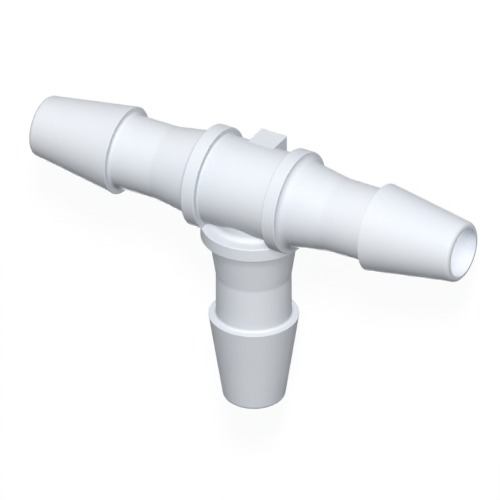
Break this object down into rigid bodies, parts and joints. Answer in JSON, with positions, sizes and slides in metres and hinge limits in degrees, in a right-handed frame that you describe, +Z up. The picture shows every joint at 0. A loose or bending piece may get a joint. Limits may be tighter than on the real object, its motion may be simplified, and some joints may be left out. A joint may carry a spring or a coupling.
{
  "type": "hose barb tee",
  "caption": "Moulded plastic tee that joins hoses with tapered barbs: a straight run, a branch at right angles, collars round the body and a small tab.",
  "frame": {"origin": "where the axis of the run crosses the axis of the branch", "axes": "+X along the run, -Y along the branch towards its tip, +Z up through the front as the tee lies on the backs of its collars"},
  "size_m": [0.0798, 0.0486, 0.0174],
  "materials": {
    "plastic": "fine satin moulded surface, natural white polypropylene"
  },
  "bodies": {
    "root": {"tee": "plastic"}
  },
  "joints": []
}
